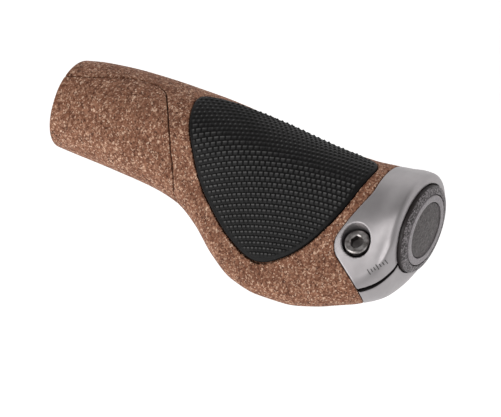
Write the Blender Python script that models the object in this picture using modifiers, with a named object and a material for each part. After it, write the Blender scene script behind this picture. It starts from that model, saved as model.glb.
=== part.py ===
"""Right-hand ergonomic lock-on handlebar grip for a bicycle, as separate pieces.

Metres, +Z up. The bar runs along X. The origin is on the bar's axis at the grip's inboard
end face, +X points outboard, -Y to the rear (the rider's side, where the palm wing is),
and +Z along the clamp bolt, square to the clamp's slit.
"""
import math

import bmesh
import bpy
from mathutils import Matrix, Vector

MM = 0.001
GAP = 0.3 * MM                  # between the surfaces of two pieces that touch

# Lengths along the bar
BODY_END = 133.0 * MM           # outboard face of the clamp
CLAMP_FACE = 119.6 * MM         # the clamp's inboard edge, round the front half
SPIGOT_START = 116.3 * MM       # the clamp's spigot, which reaches into the cork
SLEEVE_END = 116.0 * MM
DOG_END = 118.7 * MM            # driving dogs on the sleeve's end
DOG_SIDES = (0, 90, 270)        # front, top and bottom, in degrees from +Y towards +Z
DOG_HALF = 25                   # half of a dog's width, in degrees
DOG_NOTCHES = ((25, 65), (115, 245), (295, 335))

# Radii about the bar's axis
BORE_R = 11.2 * MM              # for a 22.2 mm bar
SLEEVE_R = 12.7 * MM
CORK_BORE_R = SLEEVE_R + GAP

# The grip's outer form. Each row: x; reach of the front, top and bottom; then the palm
# wing's rounded rear edge: its centre's distance to the rear, its height, its radius.
FORM = [[value * MM for value in row] for row in (
    (0.0, 15.1, 15.4, 15.0, 0.0, 0.0, 15.0),
    (8.0, 17.1, 16.1, 15.5, 0.2, 0.0, 15.2),
    (24.0, 18.9, 16.9, 15.9, 0.8, 0.0, 15.3),
    (38.0, 19.3, 17.4, 15.9, 3.0, -0.2, 14.1),
    (50.0, 19.3, 17.5, 15.8, 7.8, -0.8, 11.7),
    (60.0, 18.9, 17.4, 15.7, 15.3, -1.6, 9.5),
    (70.0, 18.0, 17.1, 15.6, 24.3, -2.4, 7.9),
    (80.0, 17.1, 16.7, 15.5, 30.5, -3.0, 7.0),
    (90.0, 16.2, 16.3, 15.4, 32.6, -3.4, 6.7),
    (100.0, 15.7, 16.0, 15.3, 32.3, -3.4, 6.7),
    (110.0, 15.9, 16.0, 15.3, 29.1, -2.8, 7.5),
    (118.0, 16.8, 16.3, 15.5, 24.3, -1.8, 9.1),
    (124.0, 17.7, 16.8, 16.2, 20.5, -1.8, 9.8),
    (129.0, 18.5, 17.8, 17.2, 14.2, -2.0, 12.0),
    (133.0, 18.4, 18.2, 17.9, 2.6, -0.4, 16.4),
)]
WING_EDGE_ARC = math.radians(62)    # half of the rounded rear edge's arc
FILLET_PULL = 0.36                  # handle length of the curves from tube to wing edge
END_ROUND = 0.9 * MM
RIM_ROUND = 2.2 * MM                # the clamp's outboard rim
RING_STEP = 5.0 * MM
PER_FIFTH = 8                       # points on each fifth of a section

# The collar panel. Each row: angle from +Z towards the rear, in degrees; where the seam
# starts and ends along the bar there, in mm. It is the same above and below the bar.
PANEL_SEAM = (
    (-38.0, 24.5, 31.0),
    (-36.0, 21.5, 33.4),
    (-30.0, 16.8, 36.2),
    (-20.0, 9.2, 38.4),
    (-12.0, 1.5, 40.0),
    (-9.0, -1.0, 40.6),
    (3.0, -1.0, 42.7),
    (18.0, -1.0, 44.9),
    (36.0, -1.0, 46.4),
    (52.0, -1.0, 48.2),
    (67.0, -1.0, 49.7),
    (90.0, -1.0, 50.4),
)
PANEL_ROWS = 64
PANEL_OUTER_R = 30.0 * MM

# The palm pad's outline, in mm along X and Y at the bar's height. It is carried up along
# a line that leans forward, so that it meets the tube's front and the wing alike.
PAD_OUTLINE = (
    (47.0, 4.5), (50.0, -7.2), (56.4, -15.8), (65.4, -23.4), (77.0, -30.7), (88.0, -34.0),
    (97.3, -31.3), (105.8, -25.0), (112.0, -15.9), (115.0, -5.0), (115.3, 3.6),
    (110.5, 8.2), (95.5, 11.6), (78.0, 13.8), (62.0, 11.8), (51.0, 9.0),
)
PAD_LEAN = math.radians(25)
PAD_PROUD = 0.4 * MM
PAD_DEPTH = 1.6 * MM

# The stiffening plate inside the wing, part of the sleeve
PLATE_OUTLINE = (
    (62.0, -11.8), (63.5, -17.0), (71.0, -26.5), (80.0, -31.5), (90.0, -33.5),
    (101.0, -32.5), (110.0, -29.0), (111.0, -11.8),
)
PLATE_Z = -2.4 * MM
PLATE_T = 2.4 * MM
PLATE_SLOTS = ((72.5, -19.0, 5.0, 8.0), (85.0, -21.5, 6.0, 12.0), (99.0, -21.5, 6.0, 12.0))

# The clamp's inboard edge on the rear half, in plan: two straight runs and a round nose
NOSE_R = 6.0 * MM
NOSE_CENTRE = (119.2 * MM, -17.7 * MM)
NOSE_START = math.radians(159.0)    # directions from the nose's centre to its two ends
NOSE_END = math.radians(236.5)
CLAMP_REAR = (126.3 * MM, -29.6 * MM)
SLIT_Z = 2.4 * MM
SLIT_T = 1.4 * MM

# The clamp bolt, along Z
BOLT_X = 120.2 * MM
BOLT_Y = -15.9 * MM
RECESS_R = 5.0 * MM
FLARE_R = 5.9 * MM              # the recess widens above the bolt's head
FLARE_LOW = 12.9 * MM
FLARE_HIGH = 15.9 * MM
SEAT_Z = 6.2 * MM
HOLE_R = 2.8 * MM
WASHER_T = 0.6 * MM
WASHER_R = 4.2 * MM
HEAD_R = 4.25 * MM
HEAD_H = 4.0 * MM
SHANK_R = 2.5 * MM
SHANK_END = -11.0 * MM
KEY_FLATS = 4.0 * MM
KEY_DEPTH = 2.3 * MM
NUT_FLATS = 8.0 * MM
NUT_T = 4.0 * MM
NUT_TOP = -5.5 * MM
NUT_BORE_R = 2.8 * MM

# The end plug and its badge
SEAT_X = 131.5 * MM             # floor of the plug's seat in the clamp
PLUG_SEAT_R = 15.3 * MM
PLUG_R = 15.0 * MM
PLUG_SHOULDER = 134.3 * MM
PLUG_FACE = 135.2 * MM
PLUG_FACE_R = 12.3 * MM
BADGE_SEAT = 134.2 * MM
BADGE_R = 12.0 * MM
BADGE_RING_INNER = 9.7 * MM
DISC_R = 9.4 * MM
TAIL_R = 7.6 * MM
TAIL_BORE_R = 6.0 * MM
TAIL_START = 118.0 * MM
BARB_R = 9.0 * MM
BARBS = [x * MM for x in (121.0, 124.0, 127.0, 130.0)]
BARB_LENGTH = 1.4 * MM

ROUND_STEPS = 48
SMALL_STEPS = 32


def clear_scene():
    for old in list(bpy.data.objects):
        bpy.data.objects.remove(old, do_unlink=True)


def new_collection(name):
    collection = bpy.data.collections.new(name)
    bpy.context.scene.collection.children.link(collection)
    return collection


clear_scene()
PARTS = new_collection("handlebar_grip")
CUTTERS = new_collection("cutters")


def link(obj, collection):
    for old in list(obj.users_collection):
        old.objects.unlink(obj)
    collection.objects.link(obj)
    obj.hide_render = collection is CUTTERS
    obj.display_type = "WIRE" if collection is CUTTERS else "TEXTURED"
    return obj


def material(name, colour, roughness, metallic=0.0):
    made = bpy.data.materials.new(name)
    made.use_nodes = True
    shader = made.node_tree.nodes["Principled BSDF"]
    shader.inputs["Base Color"].default_value = (*colour, 1.0)
    shader.inputs["Roughness"].default_value = roughness
    shader.inputs["Metallic"].default_value = metallic
    return made


def mesh_object(name, verts, faces, collection):
    """An object from points and faces, its faces turned outward."""
    mesh = bpy.data.meshes.new(name)
    mesh.from_pydata(verts, [], faces)
    shell = bmesh.new()
    shell.from_mesh(mesh)
    bmesh.ops.recalc_face_normals(shell, faces=shell.faces)
    shell.to_mesh(mesh)
    shell.free()
    obj = bpy.data.objects.new(name, mesh)
    return link(obj, collection)


def boolean(target, other, operation="DIFFERENCE"):
    modifier = target.modifiers.new(f"{operation.lower()}_{other.name}", "BOOLEAN")
    modifier.operation = operation
    modifier.solver = "EXACT"
    modifier.object = other


def monotone_slope(table, row, column):
    """Slope at a table's row: the weighted harmonic mean of the slopes on both sides."""
    def run(k):
        return table[k + 1][0] - table[k][0]

    def slope(k):
        return (table[k + 1][column] - table[k][column]) / run(k)

    if row == 0:
        return slope(0)
    if row == len(table) - 1:
        return slope(row - 1)
    before, after = slope(row - 1), slope(row)
    if before * after <= 0.0:
        return 0.0
    weight_before = 2.0 * run(row) + run(row - 1)
    weight_after = run(row) + 2.0 * run(row - 1)
    return (weight_before + weight_after) / (weight_before / before + weight_after / after)


def read_table(table, x):
    """The columns of a table at x, on monotone cubic curves through its rows."""
    x = min(max(x, table[0][0]), table[-1][0])
    row = max(k for k in range(len(table) - 1) if table[k][0] <= x)
    run = table[row + 1][0] - table[row][0]
    u = (x - table[row][0]) / run
    values = []
    for column in range(1, len(table[0])):
        start, end = table[row][column], table[row + 1][column]
        leave = monotone_slope(table, row, column) * run
        arrive = monotone_slope(table, row + 1, column) * run
        values.append((1 + 2 * u) * (1 - u) ** 2 * start + u * (1 - u) ** 2 * leave
                      + u * u * (3 - 2 * u) * end + u * u * (u - 1) * arrive)
    return values


def bezier(a, b, c, d, count):
    """Points on a cubic curve from a, without its last point."""
    points = []
    for k in range(count):
        t = k / count
        points.append(a * (1 - t) ** 3 + b * 3 * t * (1 - t) ** 2
                      + c * 3 * t * t * (1 - t) + d * t ** 3)
    return points


def section(x, grow=0.0):
    """The grip's outline across the bar at x, as (y, z) points from the top, clockwise."""
    front, top, bottom, back, edge_z, edge_r = read_table(FORM, x)
    points = []
    for k in range(2 * PER_FIFTH):
        angle = math.pi / 2 - math.pi * k / (2 * PER_FIFTH)
        reach = top if angle > 0.0 else bottom
        points.append(Vector((front * math.cos(angle), reach * math.sin(angle))))

    def edge(angle):
        return Vector((-back - edge_r * math.cos(angle), edge_z + edge_r * math.sin(angle)))

    low, high = edge(-WING_EDGE_ARC), edge(WING_EDGE_ARC)
    under, over = Vector((0.0, -bottom)), Vector((0.0, top))
    to_rear = Vector((-1.0, 0.0))
    low_way = Vector((math.sin(WING_EDGE_ARC), -math.cos(WING_EDGE_ARC)))
    high_way = Vector((math.sin(WING_EDGE_ARC), math.cos(WING_EDGE_ARC)))
    low_pull = (low - under).length * FILLET_PULL
    high_pull = (high - over).length * FILLET_PULL
    points += bezier(under, under + to_rear * low_pull, low + low_way * low_pull, low, PER_FIFTH)
    points += [edge(WING_EDGE_ARC * (2 * k / PER_FIFTH - 1)) for k in range(PER_FIFTH)]
    points += bezier(high, high + high_way * high_pull, over + to_rear * high_pull, over,
                     PER_FIFTH)
    if grow == 0.0:
        return points
    grown = []
    for k, point in enumerate(points):
        along = (points[(k + 1) % len(points)] - points[k - 1]).normalized()
        grown.append(point + Vector((-along.y, along.x)) * grow)
    return grown


def loft(name, start, end, grow=0.0, rounds=None):
    """A closed solid through the grip's sections, with its end edges rounded if asked."""
    rings = []
    count = math.ceil((end - start) / RING_STEP)
    for k in range(count + 1):
        rings.append((start + (end - start) * k / count, grow))
    if rounds:
        first, last = rounds
        rings[0] = (start + first, grow)
        rings[-1] = (end - last, grow)
        for turn in [math.radians(a) for a in (30, 60, 90)]:
            sink, back = 1 - math.cos(turn), 1 - math.sin(turn)
            rings.insert(0, (start + first * back, grow - first * sink))
            rings.append((end - last * back, grow - last * sink))
    verts = []
    for x, grown in rings:
        verts += [(x, point.x, point.y) for point in section(x, grown)]
    size = 5 * PER_FIFTH
    faces = []
    for ring in range(len(rings) - 1):
        for k in range(size):
            here, there = ring * size + k, ring * size + (k + 1) % size
            faces.append((here, there, there + size, here + size))
    faces.append(tuple(range(size)))
    faces.append(tuple(range((len(rings) - 1) * size, len(rings) * size)))
    return mesh_object(name, verts, faces, CUTTERS)


def prism(name, outline, low, high, collection, axis="Z", lean=0.0):
    """A flat outline as a solid from low to high along Z or X.

    Along X, an outline's points are (y, z). Lean tips the sides forward, towards +Y.
    """
    curve = bpy.data.curves.new(name, "CURVE")
    curve.dimensions = "2D"
    curve.fill_mode = "BOTH"
    curve.extrude = (high - low) / 2
    loops = outline if isinstance(outline[0][0], (tuple, list)) else [outline]
    for loop in loops:
        spline = curve.splines.new("POLY")
        spline.points.add(len(loop) - 1)
        for point, (across, up) in zip(spline.points, loop):
            point.co = (across, up, 0.0, 1.0)
        spline.use_cyclic_u = True
    guide = bpy.data.objects.new(name + "_curve", curve)
    link(guide, CUTTERS)
    bpy.context.view_layer.update()
    evaluated = guide.evaluated_get(bpy.context.evaluated_depsgraph_get())
    mesh = bpy.data.meshes.new_from_object(evaluated)
    mesh.name = name
    bpy.data.objects.remove(guide, do_unlink=True)
    mesh.transform(Matrix.Translation((0.0, 0.0, (low + high) / 2)))
    if lean:
        mesh.transform(Matrix.Shear("XY", 4, (0.0, math.tan(lean))))
    if axis == "X":
        mesh.transform(Matrix(((0, 0, 1, 0), (1, 0, 0, 0), (0, 1, 0, 0), (0, 0, 0, 1))))
    shell = bmesh.new()
    shell.from_mesh(mesh)
    bmesh.ops.remove_doubles(shell, verts=shell.verts, dist=0.001 * MM)
    bmesh.ops.recalc_face_normals(shell, faces=shell.faces)
    shell.to_mesh(mesh)
    shell.free()
    return link(bpy.data.objects.new(name, mesh), collection)


def cylinder(name, radius, start, end, axis, centre=(0.0, 0.0), steps=ROUND_STEPS):
    """A cutter from start to end along X, or along Z at centre (x, y)."""
    middle = (start + end) / 2
    if axis == "X":
        location, rotation = (middle, *centre), (0.0, math.pi / 2, 0.0)
    else:
        location, rotation = (*centre, middle), (0.0, 0.0, 0.0)
    bpy.ops.mesh.primitive_cylinder_add(
        vertices=steps, radius=radius, depth=end - start, location=location, rotation=rotation)
    obj = bpy.context.object
    obj.name = name
    return link(obj, CUTTERS)


def box(name, low, high):
    bpy.ops.mesh.primitive_cube_add(size=1.0, location=[(a + b) / 2 for a, b in zip(low, high)])
    obj = bpy.context.object
    obj.name = name
    obj.scale = [b - a for a, b in zip(low, high)]
    bpy.ops.object.transform_apply(location=False, rotation=False, scale=True)
    return link(obj, CUTTERS)


def turned(name, profile, collection, axis="X", closed=True, location=(0.0, 0.0, 0.0),
           steps=ROUND_STEPS):
    """A turned piece about X or Z, from (radius, height) points down its outer side."""
    mesh = bpy.data.meshes.new(name)
    verts = [(radius, 0.0, height) for radius, height in profile]
    edges = [(k, k + 1) for k in range(len(verts) - 1)]
    if closed:
        edges.append((len(verts) - 1, 0))
    mesh.from_pydata(verts, edges, [])
    obj = bpy.data.objects.new(name, mesh)
    obj.location = location
    if axis == "X":
        obj.rotation_euler = (0.0, math.pi / 2, 0.0)
    screw = obj.modifiers.new("turn", "SCREW")
    screw.steps = steps
    screw.render_steps = steps
    screw.use_merge_vertices = True
    screw.merge_threshold = 0.00001
    return link(obj, collection)


def hexagon(across_flats, centre=(0.0, 0.0)):
    """Corner points of a hexagon with flats facing +Y and -Y."""
    radius = across_flats / math.sqrt(3)
    return [(centre[0] + radius * math.cos(math.radians(60 * k)),
             centre[1] + radius * math.sin(math.radians(60 * k))) for k in range(6)]


def arc(centre, radius, start, end, count):
    """Points on an arc, both ends included, for angles in radians."""
    turn = (end - start) / (count - 1)
    return [(centre[0] + radius * math.cos(start + turn * k),
             centre[1] + radius * math.sin(start + turn * k)) for k in range(count)]


def closed_curve(points, per_span):
    """A closed smooth (Catmull-Rom) curve through hand-set points."""
    curve = []
    count = len(points)
    for k in range(count):
        a, b, c, d = (Vector(points[(k + step) % count]) for step in (-1, 0, 1, 2))
        for part in range(per_span):
            t = part / per_span
            curve.append(0.5 * (2 * b + (c - a) * t + (2 * a - 5 * b + 4 * c - d) * t * t
                                + (3 * b - a - 3 * c + d) * t ** 3))
    return curve


def offset_outline(points, distance):
    """A closed outline moved outward by distance, each corner along its bisector."""
    area = sum(points[k - 1][0] * points[k][1] - points[k][0] * points[k - 1][1]
               for k in range(len(points)))
    outward = 1.0 if area > 0.0 else -1.0
    moved = []
    for k, point in enumerate(points):
        arrive = (Vector(point) - Vector(points[k - 1])).normalized()
        leave = (Vector(points[(k + 1) % len(points)]) - Vector(point)).normalized()
        normal = Vector((arrive.y + leave.y, -arrive.x - leave.x)).normalized() * outward
        square = Vector((arrive.y, -arrive.x)) * outward
        moved.append(tuple(Vector(point) + normal * (distance / normal.dot(square))))
    return moved


def in_mm(points):
    return [tuple(value * MM for value in point) for point in points]


def sector(name, radius, start, end, low, high):
    """A wedge about the bar's axis; degrees from +Y towards +Z, from low to high on X."""
    rim = arc((0.0, 0.0), radius, math.radians(start), math.radians(end), 9)
    return prism(name, [(0.0, 0.0), *rim], low, high, CUTTERS, axis="X")


def clamp_outline():
    """The clamp's share of the grip, in plan."""
    outside = 150 * MM
    front = 40 * MM
    nose = arc(NOSE_CENTRE, NOSE_R, NOSE_START, NOSE_END, 9)
    return [(CLAMP_FACE, front), (CLAMP_FACE, 1.5 * MM), (CLAMP_FACE - 0.6 * MM, -1.5 * MM),
            *nose, CLAMP_REAR, (CLAMP_REAR[0], -front), (outside, -front), (outside, front)]


def panel_wedge(name, grow, inner):
    """The space of the collar panel: rows by angle, each from the seam's start to its end."""
    table = [(angle, start * MM - (grow if start > 0.0 else 0.0), end * MM + grow)
             for angle, start, end in PANEL_SEAM]
    first, last = table[0][0], 180.0 - table[0][0]
    widen = math.degrees(grow / SLEEVE_R)
    columns = 4
    verts, faces = [], []
    for row in range(PANEL_ROWS + 1):
        angle = first + (last - first) * row / PANEL_ROWS
        start, end = read_table(table, min(angle, 180.0 - angle))
        turn = math.radians(angle + widen * (2 * row / PANEL_ROWS - 1))
        for column in range(columns + 1):
            x = start + (end - start) * column / columns
            for radius in (inner, PANEL_OUTER_R):
                verts.append((x, -radius * math.sin(turn), radius * math.cos(turn)))

    def index(row, column, side):
        return (row * (columns + 1) + column) * 2 + side

    for row in range(PANEL_ROWS):
        for column in range(columns):
            for side in (0, 1):
                faces.append((index(row, column, side), index(row, column + 1, side),
                              index(row + 1, column + 1, side), index(row + 1, column, side)))
        for column in (0, columns):
            faces.append((index(row, column, 0), index(row, column, 1),
                          index(row + 1, column, 1), index(row + 1, column, 0)))
    for row in (0, PANEL_ROWS):
        for column in range(columns):
            faces.append((index(row, column, 0), index(row, column, 1),
                          index(row, column + 1, 1), index(row, column + 1, 0)))
    return mesh_object(name, verts, faces, CUTTERS)


def finish(obj, look, smooth_angle=35.0):
    """Shade the piece's faces smooth, but for its sharp edges, and give it its material."""
    obj.data.materials.clear()
    obj.data.materials.append(look)
    if obj.data.polygons:
        obj.data.shade_smooth()
        obj.data.set_sharp_from_angle(angle=math.radians(smooth_angle))
    return obj


def make_core_frame(look):
    """The nylon sleeve on the bar, with driving dogs and the plate that carries the wing."""
    sleeve = turned("core_frame", [
        (SLEEVE_R, DOG_END), (SLEEVE_R, 0.0), (BORE_R, 0.0), (BORE_R, DOG_END)], PARTS)
    for start, end in DOG_NOTCHES:
        boolean(sleeve, sector(f"notch_{start}", 20 * MM, start, end, SLEEVE_END, 130 * MM))
    slots = []
    for x, y, width, length in PLATE_SLOTS:
        slots.append(arc((x, y + (length - width) / 2), width / 2, 0.0, math.pi, 7)
                     + arc((x, y - (length - width) / 2), width / 2, math.pi, 2 * math.pi, 7))
    plate = prism("wing_plate", [in_mm(loop) for loop in [PLATE_OUTLINE, *slots]],
                  PLATE_Z - PLATE_T / 2, PLATE_Z + PLATE_T / 2, CUTTERS)
    boolean(sleeve, plate, "UNION")
    finish(sleeve, look)


def pad_space(name, grow):
    """The palm pad's outline carried up through the grip's surface."""
    outline = offset_outline(in_mm(closed_curve(PAD_OUTLINE, 3)), grow)
    return prism(name, outline, -0.5 * MM, 30 * MM, CUTTERS, lean=PAD_LEAN)


def make_palm_pad(look):
    """The rubber pad: its outline between a surface proud of the cork and one inside it."""
    pad = link(pad_space("palm_pad", 0.0), PARTS)
    boolean(pad, loft("pad_top", 40 * MM, 122 * MM, PAD_PROUD), "INTERSECT")
    boolean(pad, loft("pad_floor", 40 * MM, 122 * MM, -PAD_DEPTH))
    finish(pad, look)


def make_cork_body(look):
    """The cork composite moulding: collar front, tube and palm wing."""
    cork = link(loft("cork_body", 0.0, BODY_END, rounds=(END_ROUND, END_ROUND)), PARTS)
    pocket = pad_space("pad_pocket", GAP)
    boolean(pocket, loft("pocket_floor", 40 * MM, 122 * MM, -PAD_DEPTH - GAP))
    plate = prism("plate_pocket", offset_outline(in_mm(PLATE_OUTLINE), GAP),
                  PLATE_Z - PLATE_T / 2 - GAP, PLATE_Z + PLATE_T / 2 + GAP, CUTTERS)
    clamp_share = prism("clamp_share", offset_outline(clamp_outline(), GAP),
                        -40 * MM, 40 * MM, CUTTERS)
    bore = cylinder("cork_bore", CORK_BORE_R, -5 * MM, 125 * MM, "X")
    for cutter in (clamp_share, bore, pocket, plate, panel_wedge("panel_space", GAP, 12 * MM)):
        boolean(cork, cutter)
    finish(cork, look)


def make_thumb_panel(look):
    """The cork panel moulded round the rear of the collar."""
    panel = link(panel_wedge("thumb_panel", 0.0, CORK_BORE_R), PARTS)
    boolean(panel, loft("panel_form", 0.0, 70 * MM, rounds=(END_ROUND, END_ROUND)), "INTERSECT")
    finish(panel, look)


def make_clamp(look):
    """The aluminium clamp: split ring, bolt nose, spigot with dog slots, plug seat."""
    clamp = prism("clamp", clamp_outline(), -40 * MM, 40 * MM, PARTS)
    boolean(clamp, loft("clamp_form", 100 * MM, BODY_END, rounds=(END_ROUND, RIM_ROUND)),
            "INTERSECT")
    boolean(clamp, cylinder("sleeve_space", CORK_BORE_R, 100 * MM, SPIGOT_START, "X"))
    boolean(clamp, cylinder("spigot", SLEEVE_R, SPIGOT_START, 125 * MM, "X"), "UNION")
    boolean(clamp, cylinder("clamp_bore", BORE_R, 90 * MM, 140 * MM, "X"))
    for side in DOG_SIDES:
        boolean(clamp, sector(f"dog_slot_{side}", CORK_BORE_R, side - DOG_HALF - 2,
                              side + DOG_HALF + 2, 110 * MM, DOG_END + GAP))
    boolean(clamp, cylinder("plug_seat", PLUG_SEAT_R, SEAT_X, 140 * MM, "X"))
    boolean(clamp, box("slit", (90 * MM, -50 * MM, SLIT_Z - SLIT_T / 2),
                       (140 * MM, -8 * MM, SLIT_Z + SLIT_T / 2)))
    bolt = (BOLT_X, BOLT_Y)
    boolean(clamp, cylinder("bolt_recess", RECESS_R, SEAT_Z, 40 * MM, "Z", bolt, SMALL_STEPS))
    boolean(clamp, turned("recess_flare", [
        (0.0, FLARE_HIGH), (FLARE_R, FLARE_HIGH), (RECESS_R, FLARE_LOW), (0.0, FLARE_LOW)],
        CUTTERS, axis="Z", closed=False, location=(*bolt, 0.0), steps=SMALL_STEPS))
    boolean(clamp, cylinder("bolt_hole", HOLE_R, -30 * MM, 30 * MM, "Z", bolt, SMALL_STEPS))
    boolean(clamp, prism("nut_pocket", hexagon(NUT_FLATS + 2 * GAP, bolt), -30 * MM,
                         NUT_TOP + GAP, CUTTERS))
    finish(clamp, look)


def make_bolt_set(look, bolt_pivot):
    """Washer, socket head bolt and nut, on the bolt's axis."""
    washer_low = SEAT_Z + GAP
    head_low = washer_low + WASHER_T + GAP
    head_top = head_low + HEAD_H
    chamfer = 0.35 * MM
    washer = turned("bolt_washer", [
        (WASHER_R, washer_low + WASHER_T), (WASHER_R, washer_low),
        (HOLE_R, washer_low), (HOLE_R, washer_low + WASHER_T)],
        PARTS, axis="Z", steps=SMALL_STEPS)
    bolt = turned("clamp_bolt", [
        (0.0, head_top), (HEAD_R - chamfer, head_top), (HEAD_R, head_top - chamfer),
        (HEAD_R, head_low), (SHANK_R, head_low), (SHANK_R, SHANK_END + chamfer),
        (SHANK_R - chamfer, SHANK_END), (0.0, SHANK_END)],
        PARTS, axis="Z", closed=False, steps=SMALL_STEPS)
    socket = prism("key_socket", hexagon(KEY_FLATS), head_top - KEY_DEPTH, head_top + MM, CUTTERS)
    socket.parent = bolt
    boolean(bolt, socket)
    nut = prism("clamp_nut", hexagon(NUT_FLATS, (BOLT_X, BOLT_Y)), NUT_TOP - NUT_T, NUT_TOP, PARTS)
    boolean(nut, cylinder("nut_bore", NUT_BORE_R, -20 * MM, 0.0, "Z", (BOLT_X, BOLT_Y),
                          SMALL_STEPS))
    for piece in (washer, bolt):
        piece.parent = bolt_pivot
    for piece in (washer, bolt, nut):
        finish(piece, look)


def make_end_plug(plug_look, ring_look, disc_look, plug_slide):
    """The plug that closes the bar's end, with a two-piece badge set in its face."""
    tail = []
    for x in reversed(BARBS):
        tail += [(TAIL_R, x), (BARB_R, x), (TAIL_R, x - BARB_LENGTH)]
    plug = turned("plug_body", [
        (PLUG_FACE_R, PLUG_FACE), (PLUG_R - 0.5 * MM, PLUG_SHOULDER + 0.3 * MM),
        (PLUG_R, PLUG_SHOULDER - 0.2 * MM), (PLUG_R, SEAT_X + GAP), (TAIL_R, SEAT_X + GAP),
        *tail, (TAIL_R, TAIL_START), (TAIL_BORE_R, TAIL_START), (TAIL_BORE_R, SEAT_X + GAP),
        (0.0, SEAT_X + GAP), (0.0, BADGE_SEAT), (PLUG_FACE_R, BADGE_SEAT)],
        PARTS, closed=True)
    badge_low, badge_top = BADGE_SEAT + GAP, PLUG_FACE + 0.1 * MM
    ring = turned("badge_ring", [
        (BADGE_R, badge_top - 0.2 * MM), (BADGE_R, badge_low),
        (BADGE_RING_INNER, badge_low), (BADGE_RING_INNER, badge_top),
        (BADGE_R - 0.3 * MM, badge_top)], PARTS)
    disc = turned("badge_disc", [
        (0.0, badge_top - 0.25 * MM), (DISC_R, badge_top - 0.25 * MM), (DISC_R, badge_low),
        (0.0, badge_low)], PARTS, closed=False)
    for piece, look in ((plug, plug_look), (ring, ring_look), (disc, disc_look)):
        piece.parent = plug_slide
        finish(piece, look)


def pivot(name, location):
    empty = bpy.data.objects.new(name, None)
    empty.location = location
    empty.empty_display_size = 5 * MM
    return link(empty, PARTS)


def build():
    cork = material("cork", (0.33, 0.18, 0.11), 0.75)
    rubber = material("rubber", (0.02, 0.02, 0.022), 0.7)
    nylon = material("nylon", (0.03, 0.03, 0.03), 0.55)
    aluminium = material("aluminium", (0.62, 0.62, 0.64), 0.38, 1.0)
    steel = material("steel", (0.42, 0.41, 0.39), 0.3, 1.0)
    plug_plastic = material("plug_plastic", (0.07, 0.065, 0.07), 0.6)
    silver = material("silver_badge", (0.6, 0.6, 0.62), 0.35, 0.6)
    grey = material("grey_badge", (0.16, 0.16, 0.16), 0.4)

    bolt_pivot = pivot("bolt_axis", (BOLT_X, BOLT_Y, 0.0))
    plug_slide = pivot("plug_axis", (0.0, 0.0, 0.0))
    make_core_frame(nylon)
    make_cork_body(cork)
    make_thumb_panel(cork)
    make_palm_pad(rubber)
    make_clamp(aluminium)
    make_bolt_set(steel, bolt_pivot)
    make_end_plug(plug_plastic, silver, grey, plug_slide)


build()
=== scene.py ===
"""Looks for a right-hand ergonomic lock-on handlebar grip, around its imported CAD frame.

Metres, in the CAD's frame: X along the bar with +X outboard, -Y to the rider's side, where
the palm wing is, and +Z along the clamp bolt.
"""
import math

import bmesh
import bpy
import numpy as np
from mathutils import Matrix, Vector
from mathutils.bvhtree import BVHTree


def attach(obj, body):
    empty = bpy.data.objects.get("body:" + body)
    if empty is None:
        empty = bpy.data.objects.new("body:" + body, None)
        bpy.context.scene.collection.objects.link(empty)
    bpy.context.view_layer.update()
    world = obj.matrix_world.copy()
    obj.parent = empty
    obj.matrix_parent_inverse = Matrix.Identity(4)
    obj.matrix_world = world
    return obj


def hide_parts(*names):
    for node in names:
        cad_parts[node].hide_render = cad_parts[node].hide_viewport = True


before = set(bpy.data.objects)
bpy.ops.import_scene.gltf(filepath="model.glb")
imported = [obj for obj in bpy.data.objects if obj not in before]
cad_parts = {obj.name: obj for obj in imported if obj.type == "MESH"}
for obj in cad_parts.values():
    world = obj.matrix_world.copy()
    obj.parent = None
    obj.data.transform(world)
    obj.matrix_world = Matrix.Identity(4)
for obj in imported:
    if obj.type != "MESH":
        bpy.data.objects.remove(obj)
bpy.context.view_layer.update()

MM = 0.001
GAP = 0.15 * MM                 # seen between the surfaces of two pieces
BEYOND = 40 * MM                # off the bar's axis, past the grip's surface on every side
SHARP_ANGLE = math.radians(32)  # edges sharper than this keep a crease

# The CAD's dimensions, apart from FLARE_R, and finer ones that only the visual model has:
# rounds and chamfers on the bolt and nut, the key socket's mouth and drilling, and DISC_SINK
BODY_END = 133.0 * MM
CLAMP_FACE = 119.6 * MM
SPIGOT_START = 116.3 * MM
SLEEVE_END = 116.0 * MM
DOG_END = 118.7 * MM
BORE_R = 11.2 * MM
SLEEVE_R = 12.7 * MM
CORK_BORE_R = 13.0 * MM
FORM = MM * np.array((
    # x, front, top, bottom, wing edge's centre back, its height, its radius
    (0.0, 15.1, 15.4, 15.0, 0.0, 0.0, 15.0),
    (8.0, 17.1, 16.1, 15.5, 0.2, 0.0, 15.2),
    (24.0, 18.9, 16.9, 15.9, 0.8, 0.0, 15.3),
    (38.0, 19.3, 17.4, 15.9, 3.0, -0.2, 14.1),
    (50.0, 19.3, 17.5, 15.8, 7.8, -0.8, 11.7),
    (60.0, 18.9, 17.4, 15.7, 15.3, -1.6, 9.5),
    (70.0, 18.0, 17.1, 15.6, 24.3, -2.4, 7.9),
    (80.0, 17.1, 16.7, 15.5, 30.5, -3.0, 7.0),
    (90.0, 16.2, 16.3, 15.4, 32.6, -3.4, 6.7),
    (100.0, 15.7, 16.0, 15.3, 32.3, -3.4, 6.7),
    (110.0, 15.9, 16.0, 15.3, 29.1, -2.8, 7.5),
    (118.0, 16.8, 16.3, 15.5, 24.3, -1.8, 9.1),
    (124.0, 17.7, 16.8, 16.2, 20.5, -1.8, 9.8),
    (129.0, 18.5, 17.8, 17.2, 14.2, -2.0, 12.0),
    (133.0, 18.4, 18.2, 17.9, 2.6, -0.4, 16.4),
))
WING_EDGE_ARC = math.radians(62)
FILLET_PULL = 0.36              # length of the fillet curves' handles, as a share
END_ROUND = 0.9 * MM
RIM_ROUND = 2.2 * MM

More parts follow.
